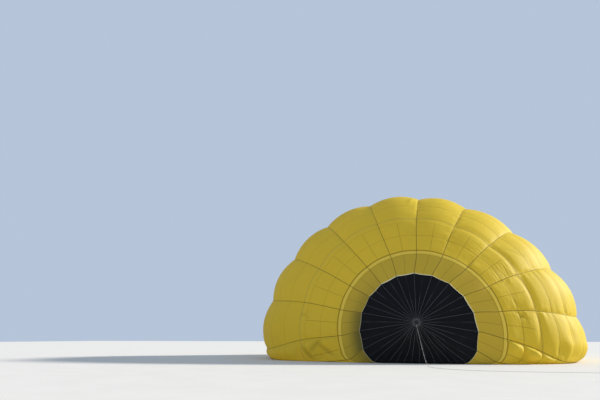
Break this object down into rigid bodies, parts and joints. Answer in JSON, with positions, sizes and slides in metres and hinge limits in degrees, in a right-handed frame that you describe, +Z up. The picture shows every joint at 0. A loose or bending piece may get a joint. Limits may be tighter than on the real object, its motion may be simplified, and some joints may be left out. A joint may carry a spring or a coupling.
{
  "type": "hot air balloon",
  "caption": "Hot air balloon lying on its side while it is filled: gored yellow envelope with a dark parachute valve, flying wires, gimballed burners and a wicker basket.",
  "frame": {"origin": "on the ground, in the middle of the bounding box of everything but the loose crown line", "axes": "+Y from the crown, with its vent, to the mouth, burners and basket; +X to the right as seen from the crown; +Z up"},
  "size_m": [24.958, 34.3383, 13.9852],
  "materials": {
    "envelope_cloth": "coated ripstop cloth, satin",
    "valve_cloth": "coated ripstop cloth, satin",
    "webbing": "woven polyester tape",
    "rope": "braided rope",
    "steel": "stainless steel",
    "leather": "hide over padding",
    "wicker": "woven cane, varnished",
    "plywood": "varnished plywood",
    "cylinder_metal": "brushed"
  },
  "bodies": {
    "balloon": {"gore_01": "envelope_cloth", "gore_02": "envelope_cloth", "gore_03": "envelope_cloth", "gore_04": "envelope_cloth", "gore_05": "envelope_cloth", "gore_06": "envelope_cloth", "gore_07": "envelope_cloth", "gore_08": "envelope_cloth", "gore_09": "envelope_cloth", "gore_10": "envelope_cloth", "gore_11": "envelope_cloth", "gore_12": "envelope_cloth", "gore_13": "envelope_cloth", "gore_14": "envelope_cloth", "gore_15": "envelope_cloth", "gore_16": "envelope_cloth", "gore_17": "envelope_cloth", "gore_18": "envelope_cloth", "gore_19": "envelope_cloth", "gore_20": "envelope_cloth", "vent_tapes": "webbing", "crown_ring": "steel", "crown_line": "rope", "crown_line_coil": "rope", "mouth_hem": "webbing", "wires_upper_right": "steel", "wires_lower_right": "steel", "wires_lower_left": "steel", "wires_upper_left": "steel", "burner_frame": "steel", "upright_upper_right": "leather", "upright_lower_right": "leather", "upright_lower_left": "leather", "upright_upper_left": "leather", "basket_floor": "plywood", "foot_band": "leather", "wall_lower": "wicker", "wall_upper": "wicker", "wall_left": "wicker", "wall_right": "wicker", "partition_left": "wicker", "partition_right": "wicker", "padded_rim": "leather", "gas_cylinder_1": "cylinder_metal", "gas_cylinder_2": "cylinder_metal", "gas_cylinder_3": "cylinder_metal", "gas_cylinder_4": "cylinder_metal"},
    "valve": {"parachute_valve": "valve_cloth"},
    "gimbal": {"gimbal_ring": "steel"},
    "burners": {"burner_block": "steel", "burner_1": "steel", "burner_2": "steel", "burner_3": "steel", "burner_4": "steel"}
  },
  "joints": [
    {"name": "valve_slide", "type": "slide", "parent": "balloon", "child": "valve", "axis": [0, 1, 0], "range_m": [0, 1.2]},
    {"name": "burner_pitch", "type": "hinge", "parent": "balloon", "child": "gimbal", "pos_m": [0.6268, 12.2141, 0.825], "axis": [1, 0, 0], "range_deg": [-15, 15]},
    {"name": "burner_roll", "type": "hinge", "parent": "gimbal", "child": "burners", "pos_m": [0.6268, 12.2141, 0.825], "axis": [0, 0, 1], "range_deg": [-15, 15]}
  ]
}
